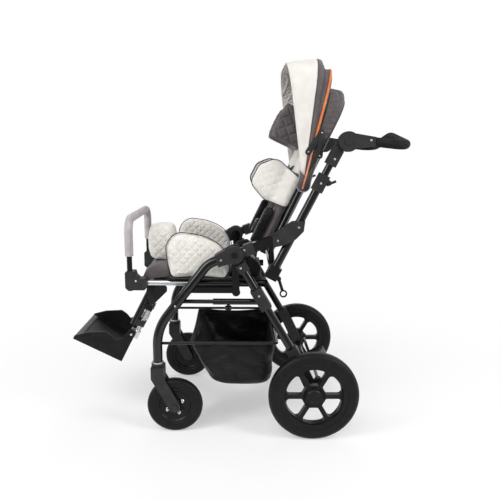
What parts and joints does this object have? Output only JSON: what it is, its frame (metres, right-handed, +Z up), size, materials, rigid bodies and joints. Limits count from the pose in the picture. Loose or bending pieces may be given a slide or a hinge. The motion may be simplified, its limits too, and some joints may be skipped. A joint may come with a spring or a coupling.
{
  "type": "special needs stroller",
  "caption": "Folding special needs stroller with padded reclining seat, side supports, canopy, grab bar, adjustable footrest, storage basket, swivel casters and push handle.",
  "frame": {"origin": "on the floor under the middle of the object", "axes": "+Z up, -Y is the front (footrest side), +X is the seated child's left"},
  "size_m": [0.61, 1.1472, 1.2648],
  "materials": {
    "gloss_black": "gloss",
    "charcoal_plastic": "satin",
    "aluminium": "brushed",
    "steel": "satin",
    "tyre": "matte",
    "rim_plastic": "satin",
    "cream_fabric": "matte",
    "taupe_fabric": "matte",
    "black_fabric": "matte",
    "seat_board": "matte",
    "grey_foam": "matte",
    "grip_rubber": "matte"
  },
  "bodies": {
    "chassis": {"front_leg_left": "gloss_black", "front_leg_right": "gloss_black", "hinge_housings": "charcoal_plastic", "hinge_bolts": "steel", "seat_crossmembers": "gloss_black", "seat_outer_rails": "gloss_black", "seat_board": "seat_board", "seat_cushion": "taupe_fabric", "thigh_pads": "cream_fabric", "storage_basket": "black_fabric", "basket_rod": "gloss_black", "caster_collars": "steel"},
    "strut_front": {"strut_inner": "gloss_black"},
    "strut_rear": {"strut_outer": "gloss_black"},
    "rear_frame": {"rear_leg_left": "gloss_black", "rear_leg_right": "gloss_black", "rear_leg_sockets": "charcoal_plastic", "axle_brackets": "charcoal_plastic", "rear_axle_tube": "gloss_black"},
    "brake": {"brake_pedal": "gloss_black"},
    "push_frame": {"upper_links": "gloss_black", "push_brackets": "charcoal_plastic", "push_tubes": "gloss_black", "recline_axle": "gloss_black", "tube_clamps": "charcoal_plastic"},
    "clamp_levers": {"clamp_levers": "charcoal_plastic"},
    "fold_release": {"fold_release": "steel"},
    "push_bar": {"upper_push_tubes": "gloss_black", "handle_sockets": "charcoal_plastic"},
    "handle": {"handle_arms": "charcoal_plastic", "handle_tube": "gloss_black", "handle_grip": "grip_rubber"},
    "backrest": {"backrest_frame": "gloss_black", "backrest_pad": "taupe_fabric", "trunk_pads": "cream_fabric", "canopy_rear": "taupe_fabric"},
    "headrest": {"headrest": "taupe_fabric"},
    "canopy_mid": {"canopy_mid": "taupe_fabric"},
    "canopy_front": {"canopy_front": "cream_fabric"},
    "seat_front": {"seat_inner_rails": "aluminium", "rail_clamps": "charcoal_plastic", "pommel": "cream_fabric", "legrest_hangers": "charcoal_plastic"},
    "grab_bar": {"grab_bar": "gloss_black", "grab_foam": "grey_foam"},
    "legrest": {"legrest_frame": "gloss_black"},
    "foot_carrier": {"footplate_carriers": "aluminium"},
    "footplate": {"footplate": "charcoal_plastic"},
    "caster_left": {"caster_fork_left": "charcoal_plastic"},
    "caster_wheel_left": {"caster_hub_left": "rim_plastic", "caster_tyre_left": "tyre"},
    "rear_wheel_left": {"rear_rim_left": "rim_plastic", "rear_tyre_left": "tyre"},
    "button_left": {"handle_button_left": "charcoal_plastic"},
    "caster_right": {"caster_fork_right": "charcoal_plastic"},
    "caster_wheel_right": {"caster_hub_right": "rim_plastic", "caster_tyre_right": "tyre"},
    "rear_wheel_right": {"rear_rim_right": "rim_plastic", "rear_tyre_right": "tyre"},
    "button_right": {"handle_button_right": "charcoal_plastic"}
  },
  "joints": [
    {"name": "frame_fold", "type": "hinge", "parent": "chassis", "child": "push_frame", "pos_m": [0, 0.002, 0.624], "axis": [1, 0, 0], "range_deg": [0, 90]},
    {"name": "rear_leg_fold", "type": "hinge", "parent": "chassis", "child": "rear_frame", "pos_m": [0, 0.002, 0.624], "axis": [-1, 0, 0], "range_deg": [0, 30.5]},
    {"name": "strut_swing", "type": "hinge", "parent": "chassis", "child": "strut_front", "pos_m": [0, -0.19031, 0.454], "axis": [-1, 0, 0], "range_deg": [0, 8.34]},
    {"name": "strut_slide", "type": "slide", "parent": "strut_front", "child": "strut_rear", "axis": [0, -1, 0], "range_m": [0, 0.09753]},
    {"name": "caster_swivel_left", "type": "hinge", "parent": "chassis", "child": "caster_left", "pos_m": [0.228, -0.257, 0.25], "axis": [0, 0, 1], "continuous": true},
    {"name": "caster_roll_left", "type": "hinge", "parent": "caster_left", "child": "caster_wheel_left", "pos_m": [0.228, -0.201, 0.095], "axis": [1, 0, 0], "continuous": true},
    {"name": "rear_roll_left", "type": "hinge", "parent": "rear_frame", "child": "rear_wheel_left", "pos_m": [0.282, 0.27, 0.1525], "axis": [1, 0, 0], "continuous": true},
    {"name": "caster_swivel_right", "type": "hinge", "parent": "chassis", "child": "caster_right", "pos_m": [-0.228, -0.257, 0.25], "axis": [0, 0, 1], "continuous": true},
    {"name": "caster_roll_right", "type": "hinge", "parent": "caster_right", "child": "caster_wheel_right", "pos_m": [-0.228, -0.201, 0.095], "axis": [1, 0, 0], "continuous": true},
    {"name": "rear_roll_right", "type": "hinge", "parent": "rear_frame", "child": "rear_wheel_right", "pos_m": [-0.282, 0.27, 0.1525], "axis": [1, 0, 0], "continuous": true},
    {"name": "brake_press", "type": "hinge", "parent": "rear_frame", "child": "brake", "pos_m": [0, 0.294, 0.1785], "axis": [-1, 0, 0], "range_deg": [0, 20]},
    {"name": "lever_open", "type": "hinge", "parent": "push_frame", "child": "clamp_levers", "pos_m": [0, 0.30621, 0.85656], "axis": [-1, 0, 0], "range_deg": [0, 60]},
    {"name": "release_pull", "type": "hinge", "parent": "push_frame", "child": "fold_release", "pos_m": [0, 0.1496, 0.5402], "axis": [1, 0, 0], "range_deg": [0, 35]},
    {"name": "push_bar_height", "type": "slide", "parent": "push_frame", "child": "push_bar", "axis": [0, 0.4462, 0.8949], "range_m": [-0.03, 0.12]},
    {"name": "handle_angle", "type": "hinge", "parent": "push_bar", "child": "handle", "pos_m": [0, 0.36008, 0.98904], "axis": [1, 0, 0], "range_deg": [-45, 40]},
    {"name": "button_press_left", "type": "slide", "parent": "handle", "child": "button_left", "axis": [-1, 0, 0], "range_m": [0, 0.0035], "stiffness_N_per_m": 800},
    {"name": "button_press_right", "type": "slide", "parent": "handle", "child": "button_right", "axis": [1, 0, 0], "range_m": [0, 0.0035], "stiffness_N_per_m": 800},
    {"name": "backrest_recline", "type": "hinge", "parent": "push_frame", "child": "backrest", "pos_m": [0, 0.13079, 0.56299], "axis": [-1, 0, 0], "range_deg": [-10, 14]},
    {"name": "headrest_height", "type": "slide", "parent": "backrest", "child": "headrest", "axis": [0, 0.4305, 0.9026], "range_m": [-0.03, 0.05]},
    {"name": "canopy_open", "type": "hinge", "parent": "backrest", "child": "canopy_mid", "pos_m": [0, 0.22611, 0.84879], "axis": [-1, 0, 0], "range_deg": [-36, 0]},
    {"name": "canopy_front_open", "type": "hinge", "parent": "canopy_mid", "child": "canopy_front", "pos_m": [0, 0.22611, 0.84879], "axis": [-1, 0, 0], "range_deg": [-36, 0]},
    {"name": "seat_depth", "type": "slide", "parent": "chassis", "child": "seat_front", "axis": [0, -1, 0], "range_m": [-0.04, 0.04]},
    {"name": "grab_bar_height", "type": "slide", "parent": "seat_front", "child": "grab_bar", "axis": [0, 0, -1], "range_m": [-0.03, 0.04]},
    {"name": "legrest_angle", "type": "hinge", "parent": "seat_front", "child": "legrest", "pos_m": [0, -0.292, 0.478], "axis": [1, 0, 0], "range_deg": [-60, 0]},
    {"name": "footrest_length", "type": "slide", "parent": "legrest", "child": "foot_carrier", "axis": [0, -0.454, -0.891], "range_m": [-0.01, 0.035]},
    {"name": "footplate_flip", "type": "hinge", "parent": "foot_carrier", "child": "footplate", "pos_m": [0, -0.36572, 0.3113], "axis": [-1, 0, 0], "range_deg": [0, 85]}
  ],
  "couplings": [
    {"joint": "rear_leg_fold", "follows": "frame_fold", "ratio": 0.33333},
    {"joint": "strut_swing", "follows": "frame_fold", "ratio": 0.089375},
    {"joint": "strut_slide", "follows": "frame_fold", "m_per_rad": 0.061453},
    {"joint": "canopy_front_open", "follows": "canopy_open", "ratio": 1}
  ]
}
